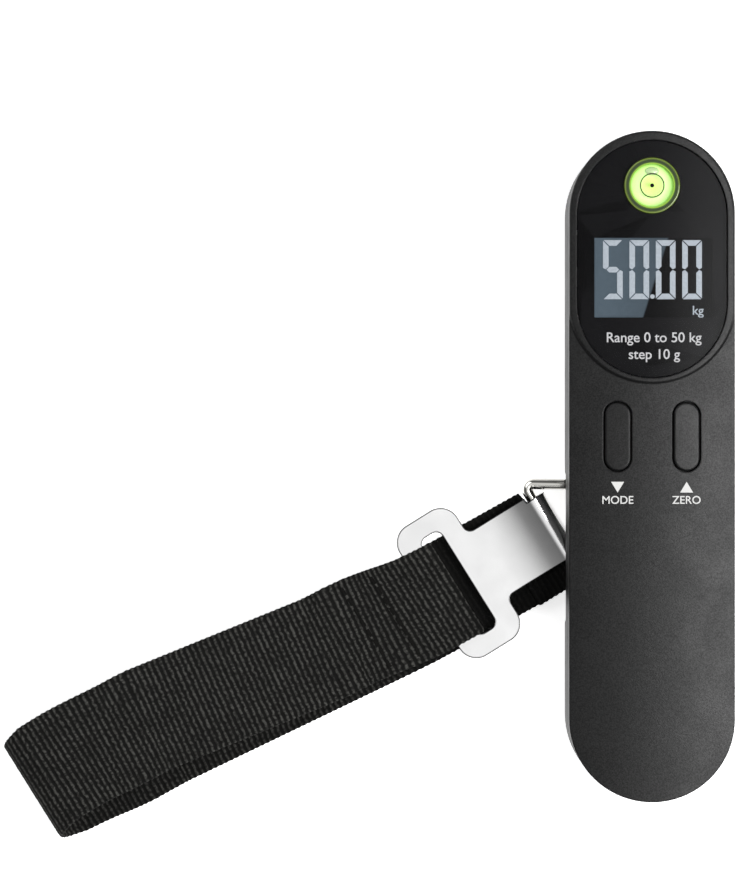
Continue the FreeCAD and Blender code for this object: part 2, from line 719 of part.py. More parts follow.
def centre_lower(u):
    """Sideways position of the lower run of the strap."""
    if u < 60:
        return LOWER_CENTRE - 1.8 * (u - BAR_U) / (60 - BAR_U)
    if u < 125:
        return -4.6 - 7.2 * (u - 60) / 65
    return -11.8 - 4.6 * ease((u - 125) / 30.0)


def centre_upper(u):
    """Sideways position of the upper run of the strap."""
    if u < 80:
        return -4.6 - 4.0 * ease(max(u - LOOP_U, 0) / (80 - LOOP_U))
    if u < 125:
        return -8.6 - 8.0 * (u - 80) / 45
    return -16.6 - 1.9 * ease(min((u - 125) / 20.0, 1.0))


def front_slope(depth, length, steps):
    """(u, z, slope) down the front of the buckle, depth under its middle line.

    The sheet leaves the roll at ROLL_LEAVE degrees and flattens out evenly."""
    leave = math.radians(ROLL_LEAVE)
    roll = ROLL_RADIUS - PLATE_THICKNESS / 2
    start_u = BAR_U + roll * math.sin(leave)
    start_z = WIRE_Z + roll * math.cos(leave)
    drop = start_z - FRONT_PLATE_Z - PLATE_THICKNESS / 2
    full = 2 * drop / math.tan(leave)
    made = []
    for step in range(steps + 1):
        u = length * step / steps
        t = min(u / full, 1.0)
        z = start_z - drop * (1 - (1 - t) ** 2)
        slope = math.atan(math.tan(leave) * (1 - t))
        made.append((
            start_u + u - depth * math.sin(slope), z - depth * math.cos(slope),
            -math.degrees(slope),
        ))
    return made


def strap_stations():
    made = []
    bar_z = WIRE_Z
    # tail between the plate halves, back towards the bar, then round the bar
    tail = front_slope(ROLL_RADIUS - PLATE_THICKNESS / 2 - WRAP_RADIUS + 0.02, TAIL_LENGTH, 6)
    for u, z, pitch in tail[::-1]:
        made.append((u, z, 180 + pitch, WRAP_CENTRE, WRAP_HALF))
    first = 90 - ROLL_LEAVE
    for step in range(1, 21):
        turn = math.radians(first + (270 - first) * step / 20)
        made.append((
            BAR_U + WRAP_RADIUS * math.cos(turn), bar_z + WRAP_RADIUS * math.sin(turn),
            90 + math.degrees(turn), WRAP_CENTRE, WRAP_HALF,
        ))
    made.append((BAR_U + 2.6, BETWEEN_Z, 360, WRAP_CENTRE, WRAP_HALF))
    made.append((BAR_U + 5.0, BETWEEN_Z, 360, centre_lower(BAR_U + 5.0), WEB_HALF))
    made.append((BAR_U + 12.0, BETWEEN_Z, 360, centre_lower(BAR_U + 12.0), WEB_HALF))
    made += blend_run(
        BAR_U + 12.0, BAR_U + 20.0, BETWEEN_Z, LOWER_Z, centre_lower(BAR_U + 12.0),
        centre_lower(BAR_U + 20.0), WEB_HALF, WEB_HALF, 5,
    )
    for step in range(0, 13):
        u = BAR_U + 20.0 + (BIGHT_U - BAR_U - 20.0) * step / 12
        made.append((u, LOWER_Z, 360, centre_lower(u), WEB_HALF))
    for step in range(1, 12):
        turn = math.radians(-90 + 180 * step / 12)
        u = BIGHT_U + BIGHT_RADIUS * math.cos(turn)
        z = LOWER_Z + BIGHT_RADIUS + BIGHT_RADIUS * math.sin(turn)
        low = centre_lower(BIGHT_U)
        high = centre_upper(BIGHT_U)
        made.append((u, z, 180 * step / 12, low + (high - low) * step / 12, WEB_HALF))
    top = LOWER_Z + 2 * BIGHT_RADIUS
    steps = 16
    sewn_z = PRONG_MID_Z + 0.6
    for step in range(0, steps + 1):
        t = step / steps
        u = BIGHT_U + (SEWN_U - BIGHT_U) * t
        z = top + (sewn_z - top) * ease(t)
        slope = (sewn_z - top) * 6 * t * (1 - t) / (SEWN_U - BIGHT_U)
        made.append((u, z, 180 + math.degrees(math.atan(slope)), centre_upper(u), WEB_HALF))
    made.append((62.0, sewn_z, 180, centre_upper(62.0), WEB_HALF))
    loop_top = PRONG_MID_Z + LOOP_RADIUS
    made += blend_run(
        62.0, 55.0, sewn_z, loop_top, centre_upper(62.0), centre_upper(55.0),
        WEB_HALF, WEB_HALF - 0.3, 4, forward=False,
    )
    for step in range(0, 9):
        turn = math.radians(90 + 180 * step / 8)
        made.append((
            LOOP_U + LOOP_RADIUS * math.cos(turn), PRONG_MID_Z + LOOP_RADIUS * math.sin(turn),
            180 + 180 * step / 8, centre_upper(LOOP_U), WEB_HALF - 0.4,
        ))
    loop_bottom = PRONG_MID_Z - LOOP_RADIUS
    made += blend_run(
        55.0, 62.0, loop_bottom, sewn_z - 1.15, centre_upper(55.0), centre_upper(62.0),
        WEB_HALF - 0.3, WEB_HALF, 4,
    )
    made.append((62.0, sewn_z - 1.15, 360, centre_upper(62.0), WEB_HALF))
    made.append((SEWN_U - 1.0, sewn_z - 1.15, 360, centre_upper(SEWN_U - 1.0), WEB_HALF))
    return made


def strap():
    return place_strap(band(strap_stations(), WEB_THICKNESS / 2))


def strap_length():
    stations = strap_stations()
    total = 0.0
    for one, two in zip(stations, stations[1:]):
        total += math.hypot(math.hypot(two[0] - one[0], two[1] - one[1]), two[3] - one[3])
    return total


def stitching():
    """Rows of thread across each sewn end, standing just proud of the webbing."""
    made = []
    sewn_top = PRONG_MID_Z + 0.6 + WEB_THICKNESS / 2 + 0.03
    for row in (63.5, 70.5):
        for step in range(8):
            v = centre_upper(row) - 9.6 + step * 2.75
            made.append(box(row - 0.35, row + 0.35, v - 0.95, v + 0.95, sewn_top, sewn_top + 0.15))
    return place_strap(Part.makeCompound(made))


def plate_band(points, half):
    """Sheet strip in the upright plane, given by its middle line as (u, z)."""
    outer = []
    inner = []
    for place, (u, z) in enumerate(points):
        before = points[max(place - 1, 0)]
        after = points[min(place + 1, len(points) - 1)]
        along = Vec(after[0] - before[0], 0, after[1] - before[1]).normalize()
        normal = Vec(-along.z, 0, along.x) * (PLATE_THICKNESS / 2)
        outer.append(Vec(u, PLATE_V - half, z) + normal)
        inner.append(Vec(u, PLATE_V - half, z) - normal)
    outline = outer + inner[::-1]
    face = Part.Face(Part.makePolygon(outline + outline[:1]))
    return face.extrude(Vec(0, 2 * half, 0))


def hook_plate():
    mid = FRONT_PLATE_Z + PLATE_THICKNESS / 2
    roll = ROLL_RADIUS - PLATE_THICKNESS / 2
    points = [(BAR_U + NECK_START + 0.5, mid)]
    slope = front_slope(0, NECK_START - roll * math.sin(math.radians(ROLL_LEAVE)), 44)
    points += [(u, z) for u, z, _ in slope[::-1]]
    first = 90 - ROLL_LEAVE
    for step in range(1, 56):
        turn = math.radians(first + (270 - first) * step / 56)
        points.append((BAR_U + roll * math.cos(turn), WIRE_Z + roll * math.sin(turn)))
    back_z = WIRE_Z - roll
    points.append((BAR_U, back_z))
    points.append((BAR_U + BACK_PLATE_LENGTH, back_z))
    fold = plate_band(points, NECK_HALF)
    low = FRONT_PLATE_Z
    high = FRONT_PLATE_Z + PLATE_THICKNESS
    neck = box(BAR_U + NECK_START, CROSSBAR_U + 1, PLATE_V - NECK_HALF, PLATE_V + NECK_HALF, low, high)
    head = rounded_box(
        CROSSBAR_U, TIP_END_U, PLATE_V - HOOK_HALF, PLATE_V + HOOK_HALF, low, high, 4.5
    )
    slot = rounded_box(
        SLOT_U, PRONG_U, PLATE_V - SLOT_HALF, PLATE_V + SLOT_HALF, low - 1, high + 1, 1.8
    )
    mouth = box(
        SLOT_U + 2, TIP_END_U + 5, PLATE_V - TIP_INNER_HALF, PLATE_V + TIP_INNER_HALF, low - 1, high + 1
    )
    flat = fuse([neck, head]).cut([slot, mouth])
    trims = []
    for edge in flat.Edges:
        limits = edge.BoundBox
        if limits.ZLength < PLATE_THICKNESS - 1e-4 or limits.XLength > 1e-4 or limits.YLength > 1e-4:
            continue
        at_neck = abs(limits.XMin - CROSSBAR_U) < 0.01 and abs(abs(limits.YMin - PLATE_V) - NECK_HALF) < 0.01
        at_tip = abs(abs(limits.YMin - PLATE_V) - TIP_INNER_HALF) < 0.01
        if at_neck or at_tip:
            trims.append(edge)
    flat = flat.makeFillet(1.7, trims)
    plate = fuse([fold, flat])
    # corner relief beside the ring's bent corner
    relief = box(
        BAR_U - 6, BAR_U + 1.6, PLATE_V - NECK_HALF - 1, PLATE_V - NECK_HALF + 1.15, -1, 10
    )
    return place_strap(plate.cut(relief))


# ------------------------------------------------------------------ wiring
def cell_wires():
    made = []
    for x in (-1.5, -0.5, 0.5, 1.5):
        side = -1 if x < 0 else 1
        end_x = side * (8.6 + abs(x))
        made.append(wire_tube([
            (x, 12.0, 13.85), (x * 1.5, 14.0, 14.0), (end_x * 0.75, 14.6, 13.9), (end_x, 14.6, 12.4),
        ], 0.3, 0.6))
    return Part.makeCompound(made)


def red_wire():
    """Battery positive strip to the board."""
    y = BAY_Y + CELL_RADIUS + 0.9
    end_y = BOARD_LOW_Y + 3.0
    return wire_tube([
        (1.0, y, BAY_ROOF + 3.0), (1.0, y, 17.8), (1.0, end_y, 17.8), (1.0, end_y, BOARD_TOP),
    ], 0.45, 1.6)


def black_wire():
    """Battery negative finger to the board."""
    y = BAY_Y - 5.0
    end_y = BOARD_LOW_Y + 3.0
    return wire_tube([
        (0, y, BAY_ROOF + 3.0), (0, y, 14.0), (-4.0, y + 10.0, 18.2),
        (-4.0, end_y, 18.2), (-4.0, end_y, BOARD_TOP),
    ], 0.45, 1.6)


save("back_housing", back_housing())
save("front_housing", front_housing())
save("housing_screws", screws())
save("display_lens", lens())
save("lens_mask", mask())
save("lcd_glass", centred_box(LCD_GLASS, LCD_TOP - LCD_GLASS[2]))
save("lcd_segments", segments())
save("lcd_backlight", centred_box(BACKLIGHT, LCD_TOP - LCD_GLASS[2] - BACKLIGHT[2]))
save("lcd_frame", lcd_frame())
save("level_cup", level_cup())
save("level_liquid", level_liquid())
save("level_bubble", level_bubble())
save("level_cap", level_cap())
save("level_target", level_target())
save("button_unit", button(-1))
save("button_on", button(1))
save("plunger_unit", plunger(-1))
save("plunger_on", plunger(1))
save("switch_cases", switches())
save("mark_down", triangle_mark(-1, False))
save("mark_up", triangle_mark(1, True))
save("circuit_board", board())
save("board_components", components())
save("load_cell", load_cell())
save("strain_gauges", gauges())
save("load_cell_screws", cell_screws())
save("load_eye", load_eye())
save("eye_washer", eye_washer())
save("eye_nut", eye_nut())
save("battery_door", battery_door())
save("coin_cell", coin_cell())
save("contact_negative", negative_contact())
save("contact_positive", positive_contact())
save("battery_wire_red", red_wire())
save("battery_wire_black", black_wire())
save("load_cell_wires", cell_wires())
save("ring", ring())
save("hook_plate", hook_plate())
save("strap_webbing", strap())
save("strap_stitching", stitching())
print("strap length", round(strap_length(), 1))
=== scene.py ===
import math

import bpy
from mathutils import Matrix, Vector


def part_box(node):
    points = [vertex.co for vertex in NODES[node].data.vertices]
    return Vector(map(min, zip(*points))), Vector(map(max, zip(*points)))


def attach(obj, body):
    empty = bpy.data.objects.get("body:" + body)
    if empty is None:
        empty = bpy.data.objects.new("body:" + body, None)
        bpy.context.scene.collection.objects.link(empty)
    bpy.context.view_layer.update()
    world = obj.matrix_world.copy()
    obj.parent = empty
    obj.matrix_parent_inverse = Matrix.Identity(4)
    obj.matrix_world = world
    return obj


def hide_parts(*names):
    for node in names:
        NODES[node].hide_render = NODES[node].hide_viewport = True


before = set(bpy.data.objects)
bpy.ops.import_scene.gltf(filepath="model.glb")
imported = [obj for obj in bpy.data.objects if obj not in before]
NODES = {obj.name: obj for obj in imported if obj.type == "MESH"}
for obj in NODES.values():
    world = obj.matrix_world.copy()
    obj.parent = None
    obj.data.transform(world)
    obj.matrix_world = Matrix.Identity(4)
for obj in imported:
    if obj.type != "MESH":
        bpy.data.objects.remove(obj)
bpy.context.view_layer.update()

# A digital luggage scale on a pale floor, seen from straight above.
# Metres; +Z out of the display, +Y towards the display end.

MM = 0.001
SCENE = bpy.context.scene
SCENE.view_settings.view_transform = "Standard"


# ---------------------------------------------------------------- node helpers
class Nodes:
    """Short way to build one node material."""

    def __init__(self, name):
        self.material = bpy.data.materials.new(name)
        self.material.use_nodes = True
        self.tree = self.material.node_tree
        self.tree.nodes.clear()
        self.out = self.add("ShaderNodeOutputMaterial")

    def add(self, kind, **values):
        node = self.tree.nodes.new(kind)
        for key, value in values.items():
            setattr(node, key, value)
        return node

    def link(self, source, target):
        self.tree.links.new(source, target)

    def put(self, socket, value):
        if isinstance(value, bpy.types.NodeSocket):
            self.link(value, socket)
        else:
            socket.default_value = value

    def coords(self, scale=(1, 1, 1), which="Object"):
        place = self.add("ShaderNodeTexCoord")
        mapping = self.add("ShaderNodeMapping")
        mapping.inputs["Scale"].default_value = scale
        self.link(place.outputs[which], mapping.inputs["Vector"])
        return mapping.outputs["Vector"]

    def position(self):
        """X, Y and Z of the spot in the object's own metres."""
        place = self.add("ShaderNodeTexCoord")
        parts = self.add("ShaderNodeSeparateXYZ")
        self.link(place.outputs["Object"], parts.inputs[0])
        return parts.outputs

    def dome(self, steepness):
        """Height that falls off to both sides as X squared."""
        x = self.position()["X"]
        return self.math("MULTIPLY", self.math("MULTIPLY", x, x), -steepness)

    def rounded_edges(self, radius_mm, samples):
        soft = self.add("ShaderNodeBevel", samples=samples)
        soft.inputs["Radius"].default_value = radius_mm * MM
        return soft.outputs["Normal"]

    def noise(self, vector, scale, detail=3.0, roughness=0.55):
        node = self.add("ShaderNodeTexNoise")
        self.put(node.inputs["Vector"], vector)
        node.inputs["Scale"].default_value = scale
        node.inputs["Detail"].default_value = detail
        node.inputs["Roughness"].default_value = roughness
        return node.outputs["Fac"]

    def math(self, operation, a, b=0.5, clamp=False):
        node = self.add("ShaderNodeMath", operation=operation, use_clamp=clamp)
        self.put(node.inputs[0], a)
        self.put(node.inputs[1], b)
        return node.outputs[0]

    def spread(self, value, low, high, to_low, to_high):
        node = self.add("ShaderNodeMapRange", interpolation_type="SMOOTHSTEP")
        self.put(node.inputs["Value"], value)
        for key, number in (
            ("From Min", low), ("From Max", high), ("To Min", to_low), ("To Max", to_high)
        ):
            node.inputs[key].default_value = number
        return node.outputs["Result"]

    def ramp(self, value, stops):
        node = self.add("ShaderNodeValToRGB")
        band = node.color_ramp
        band.elements[0].position, band.elements[0].color = stops[0][0], (*stops[0][1], 1)
        band.elements[1].position, band.elements[1].color = stops[-1][0], (*stops[-1][1], 1)
        for position, colour in stops[1:-1]:
            band.elements.new(position).color = (*colour, 1)
        self.put(node.inputs["Fac"], value)
        return node.outputs["Color"]

    def bump(self, height, strength, distance, normal=None):
        node = self.add("ShaderNodeBump")
        node.inputs["Strength"].default_value = strength
        node.inputs["Distance"].default_value = distance
        self.put(node.inputs["Height"], height)
        if normal is not None:
            self.link(normal, node.inputs["Normal"])
        return node.outputs["Normal"]

    def shader(self, **values):
        node = self.add("ShaderNodeBsdfPrincipled")
        for key, value in values.items():
            self.put(node.inputs[key.replace("_", " ")], value)
        return node

    def finish(self, shader):
        socket = shader.outputs[0] if hasattr(shader, "outputs") else shader
        self.link(socket, self.out.inputs["Surface"])
        return self.material


def grey(level):
    return (level, level, level)


HALF_WIDTH_MM = 18.5


def moulded(name, colour, rough, grain=0.05, lift=0.000025, specular=0.5, crown=0.0, edge=0.0):
    """Fine-grained moulded plastic.

    crown bends the light as a face domed by that many mm, and edge as edges rounded by it."""
    n = Nodes(name)
    place = n.coords()
    fine = n.noise(place, 3600.0, 2.0)
    broad = n.noise(place, 140.0, 4.0)
    low = tuple(c * (1 - grain) for c in colour)
    high = tuple(min(c * (1 + grain), 1) for c in colour)
    mixed = n.math("ADD", n.math("MULTIPLY", fine, 0.6), n.math("MULTIPLY", broad, 0.4))
    tint = n.ramp(mixed, [(0.3, low), (0.7, high)])
    gloss = n.spread(broad, 0.3, 0.7, rough - 0.03, rough + 0.03)
    rounded = n.rounded_edges(edge, 6) if edge else None
    normal = n.bump(fine, 0.5, lift, rounded) if lift else None
    if crown:
        normal = n.bump(n.dome(1000 * crown / HALF_WIDTH_MM ** 2), 1.0, 1.0, normal)
    speckle = n.spread(fine, 0.3, 0.7, specular * (1 - grain / 2), specular * (1 + grain / 2))
    shader = n.shader(Base_Color=tint, Roughness=gloss, Specular_IOR_Level=speckle)
    if normal is not None:
        n.link(normal, shader.inputs["Normal"])
    return n.finish(shader)


def metal(name, colour, rough, brushed=0.0, scratch=0.02, direction=(1, 1, 1), edge=0.0):
    """Metal with faint smears, or with brush lines along one direction.

    edge paints a dark rim about that many mm wide along rounded edges, as painted shade."""
    n = Nodes(name)
    smear = n.noise(n.coords(), 180.0, 4.0)
    lines = n.noise(n.coords(direction), 900.0, 3.0)
    mixed = n.math("ADD", n.math("MULTIPLY", lines, brushed), n.math("MULTIPLY", smear, 1 - brushed))
    tint = n.ramp(mixed, [(0.25, tuple(c * 0.93 for c in colour)), (0.75, colour)])
    gloss = n.spread(mixed, 0.25, 0.75, rough, rough + scratch)
    # painted shade: the colour turns dark where the rounded edges turn away from the flat face
    if edge:
        turned = n.add("ShaderNodeVectorMath", operation="DOT_PRODUCT")
        plain = n.add("ShaderNodeNewGeometry")
        n.link(n.rounded_edges(edge, 8), turned.inputs[0])
        n.link(plain.outputs["Normal"], turned.inputs[1])
        rim = n.spread(turned.outputs["Value"], 0.93, 0.995, 0.0, 1.0)
        tone_and_painted_light = n.add("ShaderNodeMix", data_type="RGBA")
        n.put(tone_and_painted_light.inputs[0], rim)
        tone_and_painted_light.inputs[6].default_value = (0.02, 0.02, 0.02, 1)
        n.link(tint, tone_and_painted_light.inputs[7])
        tint = tone_and_painted_light.outputs[2]
    normal = n.bump(lines, 0.12 * brushed + 0.02, 0.00001)
    return n.finish(n.shader(Base_Color=tint, Metallic=1.0, Roughness=gloss, Normal=normal))


def plan_middle(box):
    """Middle of a box seen from above."""
    low, high = box
    return (low[0] + high[0]) / 2, (low[1] + high[1]) / 2


def paint(node, material):
    """Gives a CAD node one material."""
    obj = NODES[node]
    if not obj.material_slots:
        obj.data.materials.append(material)
    for place in obj.material_slots:
        place.material = material


# ---------------------------------------------------------------- materials
HOUSING = moulded(
    "housing_matte", (0.0034, 0.0035, 0.0036), 0.42, grain=0.5, lift=0.00005, specular=0.24, crown=1.6,
    edge=0.45,
)
BUTTON = moulded(
    "button_matte", (0.0030, 0.0031, 0.0032), 0.42, grain=0.4, lift=0.00003, specular=0.25, crown=1.8,
    edge=0.4,
)
FRAME = moulded("frame_plastic_m", (0.08, 0.08, 0.085), 0.5)
CHIP = moulded("chip_epoxy_m", (0.02, 0.02, 0.022), 0.45)
INK = moulded("mask_ink_m", (0.0022, 0.0022, 0.0025), 0.6, lift=0.0, specular=0.08)
PRINT = moulded("white_print_m", (0.52, 0.52, 0.51), 0.5, grain=0.04)
WIRE_RED = moulded("wire_red_m", (0.5, 0.03, 0.03), 0.45)
WIRE_BLACK = moulded("wire_black_m", (0.02, 0.02, 0.02), 0.45)
GAUGE = moulded("gauge_film_m", (0.5, 0.26, 0.07), 0.25, grain=0.2)
SCREW = metal("screw_steel_m", grey(0.52), 0.28, brushed=0.5)
SWITCH = metal("switch_steel_m", grey(0.5), 0.3, brushed=0.4)
CONTACT = metal("contact_metal_m", (0.70, 0.64, 0.48), 0.25, brushed=0.4)
COIN = metal("coin_steel_m", grey(0.66), 0.22, brushed=0.6, direction=(1, 8, 1))
CELL = metal("cell_aluminium_m", (0.72, 0.72, 0.74), 0.35, brushed=0.8, direction=(8, 1, 1))
EYE = metal("eye_steel_m", (0.60, 0.60, 0.62), 0.2, brushed=0.5)
RING = metal("ring_chrome_m", (0.72, 0.71, 0.67), 0.10, scratch=0.03)
# its edge value paints shade as a dark rim along the plate's edges
PLATE = metal("plate_chrome_m", (0.93, 0.93, 0.93), 0.12, scratch=0.03, edge=0.7)


def board_material():
    n = Nodes("board_green_m")
    place = n.coords()
    tracks = n.add("ShaderNodeTexBrick")
    n.put(tracks.inputs["Vector"], place)
    tracks.inputs["Scale"].default_value = 420.0
    tracks.inputs["Color1"].default_value = (0.012, 0.10, 0.045, 1)
    tracks.inputs["Color2"].default_value = (0.016, 0.13, 0.06, 1)
    tracks.inputs["Mortar"].default_value = (0.03, 0.20, 0.09, 1)
    normal = n.bump(tracks.outputs["Fac"], 0.3, 0.00004)
    return n.finish(n.shader(Base_Color=tracks.outputs["Color"], Roughness=0.3, Normal=normal))


def clear_film(name, colour, ior, rough, dome=0.0):
    """See-through plastic with a weak gloss on its outer faces only, bent as if domed."""
    n = Nodes(name)
    through = n.add("ShaderNodeBsdfTransparent")
    through.inputs["Color"].default_value = (*colour, 1)
    gloss = n.add("ShaderNodeBsdfGlossy")
    gloss.inputs["Color"].default_value = (1, 1, 1, 1)
    ripple = n.noise(n.coords(), 60.0, 2.0)
    n.put(gloss.inputs["Roughness"], n.spread(ripple, 0.3, 0.7, rough, rough + 0.04))
    if dome:
        n.link(n.bump(n.dome(dome), 1.0, 1.0), gloss.inputs["Normal"])
    fresnel = n.add("ShaderNodeFresnel")
    fresnel.inputs["IOR"].default_value = ior
    side = n.add("ShaderNodeNewGeometry")
    outer = n.math("SUBTRACT", 1.0, side.outputs["Backfacing"])
    mix = n.add("ShaderNodeMixShader")
    n.put(mix.inputs["Fac"], n.math("MULTIPLY", fresnel.outputs["Fac"], outer))
    n.link(through.outputs[0], mix.inputs[1])
    n.link(gloss.outputs[0], mix.inputs[2])
    return n.finish(mix)


# slant of the border of the painted reflection on the display glass
PAINTED_GLARE_SLANT = 0.32


def lcd_material():
    """Display glass: a pale painted reflection over the left, dark to the right of a slanted border.
    """
    n = Nodes("lcd_glass_painted_glare_m")
    parts = n.position()
    middle_x, middle_y = plan_middle(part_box("lcd_glass"))
    across = n.math("SUBTRACT", parts["X"], middle_x)
    upward = n.math("SUBTRACT", parts["Y"], middle_y)
    # painted reflection: pale on the left of the slanted border and fading towards the right, over
    # dark glass
    border = n.math("SUBTRACT", across, n.math("MULTIPLY", upward, PAINTED_GLARE_SLANT))
    side = n.spread(border, 0.0002, 0.0008, 1.0, 0.0)
    fade = n.spread(across, -0.013, 0.003, 1.0, 0.72)
    painted_glare = n.math("MULTIPLY", side, fade)
    faint = n.noise(n.coords(), 900.0, 2.0)
    level = n.math("MULTIPLY", painted_glare, n.spread(faint, 0.3, 0.7, 0.94, 1.0))
    tint = n.ramp(level, [(0.0, (0.0004, 0.0005, 0.0006)), (1.0, (0.110, 0.150, 0.170))])
    return n.finish(n.shader(Base_Color=tint, Roughness=0.5, Specular_IOR_Level=0.04))


def lit_segment():
    n = Nodes("lcd_segment_m")
    faint = n.noise(n.coords(), 1600.0, 2.0)
    tint = n.ramp(faint, [(0.3, (0.42, 0.47, 0.48)), (0.7, (0.50, 0.56, 0.57))])
    return n.finish(n.shader(
        Base_Color=tint, Roughness=0.5, Emission_Color=tint, Emission_Strength=0.16
    ))


def guide_material():
    n = Nodes("light_guide_m")
    dots = n.add("ShaderNodeTexVoronoi")
    n.put(dots.inputs["Vector"], n.coords())
    dots.inputs["Scale"].default_value = 1200.0
    tint = n.ramp(dots.outputs["Distance"], [(0.2, grey(0.62)), (0.6, grey(0.8))])
    return n.finish(n.shader(Base_Color=tint, Roughness=0.45))


def level_centre():
    return plan_middle(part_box("level_cup"))


# the level's ramps run from its centre, 0, to this radius, 1
LEVEL_RAMP_MM = 8.0


def level_radius(n):
    """Distance from the level's axis, as a share of LEVEL_RAMP_MM."""
    parts = n.position()
    centre_x, centre_y = level_centre()
    dx = n.math("SUBTRACT", parts["X"], centre_x)
    dy = n.math("SUBTRACT", parts["Y"], centre_y)
    total = n.math("ADD", n.math("MULTIPLY", dx, dx), n.math("MULTIPLY", dy, dy))
    return n.math("MULTIPLY", n.math("SQRT", total, 0.0), 1000 / LEVEL_RAMP_MM)


def cup_material():
    """Acrylic: dark body with painted highlight bands at its inner and outer edges, which glow by
    emission as painted light.
    """
    n = Nodes("level_acrylic_m")
    painted_glow = n.ramp(level_radius(n), [
        (0.590, (0.12, 0.30, 0.02)), (0.622, (0.20, 0.34, 0.03)), (0.650, (0.020, 0.045, 0.006)),
        (0.700, (0.010, 0.018, 0.003)), (0.735, (0.045, 0.070, 0.008)), (0.762, (0.13, 0.18, 0.03)),
        (0.785, (0.012, 0.018, 0.004)),
    ])
    # painted glow: the ramp's colour is also emitted
    return n.finish(n.shader(
        Base_Color=painted_glow, Roughness=0.12, Emission_Color=painted_glow, Emission_Strength=0.35
    ))


def liquid_material():
    n = Nodes("level_liquid_m")
    cloud = n.noise(n.coords(), 220.0, 2.0)
    ring = n.math("ADD", level_radius(n), n.math("MULTIPLY", cloud, 0.05))
    # lighter in a ring and darker at the rim, by distance from the level's axis
    tint = n.ramp(ring, [
        (0.0, (0.46, 0.62, 0.14)), (0.30, (0.50, 0.74, 0.22)), (0.42, (0.52, 0.84, 0.32)),
        (0.56, (0.46, 0.76, 0.22)), (0.62, (0.22, 0.44, 0.06)),
    ])
    # painted glow: the liquid's colour is also emitted
    return n.finish(n.shader(
        Base_Color=tint, Roughness=0.35, Emission_Color=tint, Emission_Strength=0.60
    ))


def bubble_material():
    n = Nodes("bubble_air_m")
    # painted light: pale where the bubble faces the view, dark towards its outline, and glowing by
    # emission
    facing = n.add("ShaderNodeLayerWeight")
    facing.inputs["Blend"].default_value = 0.35
    tint = n.ramp(facing.outputs["Facing"], [
        (0.0, (0.36, 0.44, 0.26)), (0.40, (0.28, 0.38, 0.18)), (0.75, (0.02, 0.04, 0.01)),
    ])
    return n.finish(n.shader(
        Base_Color=tint, Roughness=0.1, Emission_Color=tint, Emission_Strength=0.45
    ))


def webbing_material(name):
    """Black nylon: painted shade in the grooves, and painted highlights on the ribs broken into short
    dashes along the threads.

    The map runs in ribs along the strap and in millimetres across it."""
    n = Nodes(name)
    place = n.add("ShaderNodeUVMap")
    place.uv_map = "rib_across"
    spread = n.add("ShaderNodeMapping")
    spread.inputs["Scale"].default_value = (1.35, 1.6, 1.0)
    n.link(place.outputs["UV"], spread.inputs["Vector"])
    thread = n.noise(spread.outputs["Vector"], 1.0, 1.0, 0.4)
    height = n.add("ShaderNodeAttribute", attribute_name="rib_height")
    # the strap's painted shade, set per vertex
    painted_shade_node = n.add("ShaderNodeAttribute", attribute_name="painted_shade")
    fibre = n.noise(n.coords(), 3000.0, 2.0, 0.6)
    patch = n.noise(n.coords(), 180.0, 3.0)
    # painted highlights: the rib tops, broken into short dashes along the threads and varied at
    # random, then dimmed by the strap's painted shade
    tone_and_painted_light = n.spread(thread, 0.34, 0.60, 0.35, 1.0)
    tone_and_painted_light = n.math("MULTIPLY", tone_and_painted_light, n.spread(fibre, 0.3, 0.7, 0.7, 1.15))
    tone_and_painted_light = n.math("MULTIPLY", tone_and_painted_light, n.spread(patch, 0.3, 0.7, 0.8, 1.1))
    crown = n.math("MULTIPLY", n.spread(height.outputs["Fac"], 0.15, 0.85, 0.08, 1.0), tone_and_painted_light)
    crown = n.math("MULTIPLY", crown, painted_shade_node.outputs["Fac"], True)
    # from painted shade in the grooves to painted highlights on the rib tops
    tint = n.ramp(crown, [
        (0.0, (0.0012, 0.0012, 0.0010)), (0.25, (0.010, 0.010, 0.0092)),
        (0.60, (0.028, 0.028, 0.0258)), (1.0, (0.052, 0.052, 0.0480)),
    ])
    normal = n.bump(fibre, 0.5, 0.0001)
    return n.finish(n.shader(
        Base_Color=tint, Roughness=0.8, Normal=normal, Specular_IOR_Level=0.10,
    ))


def floor_material():
    n = Nodes("floor_paper")
    grain = n.noise(n.coords(), 60.0, 3.0)
    tint = n.ramp(grain, [(0.3, grey(0.93)), (0.7, grey(0.95))])
    return n.finish(n.shader(
        Base_Color=tint, Roughness=0.9, Specular_IOR_Level=0.1, Emission_Color=tint,
        Emission_Strength=0.72,
    ))


for node in ("back_housing", "front_housing", "battery_door"):
    paint(node, HOUSING)
for node in ("button_unit", "button_on"):
    paint(node, BUTTON)
for node in ("lcd_frame", "plunger_unit", "plunger_on"):
    paint(node, FRAME)
for node in ("housing_screws", "load_cell_screws", "eye_washer", "eye_nut"):
    paint(node, SCREW)
for node in ("mark_down", "mark_up"):
    paint(node, PRINT)
for node in ("contact_negative", "contact_positive"):
    paint(node, CONTACT)
for node in ("battery_wire_black", "load_cell_wires"):
    paint(node, WIRE_BLACK)
for node in ("lens_mask", "level_target"):
    paint(node, INK)
paint("battery_wire_red", WIRE_RED)
paint("board_components", CHIP)
paint("circuit_board", board_material())
paint("strain_gauges", GAUGE)
paint("switch_cases", SWITCH)
paint("coin_cell", COIN)
paint("load_cell", CELL)
paint("load_eye", EYE)
paint("ring", RING)
paint("hook_plate", PLATE)
paint("display_lens", clear_film("smoked_lens_m", (0.86, 0.86, 0.88), 1.135, 0.26, 4.2))
paint("lcd_glass", lcd_material())
paint("lcd_segments", lit_segment())
paint("lcd_backlight", guide_material())
paint("level_cup", cup_material())
paint("level_cap", clear_film("level_cap_m", (0.97, 0.99, 0.95), 1.3, 0.05))
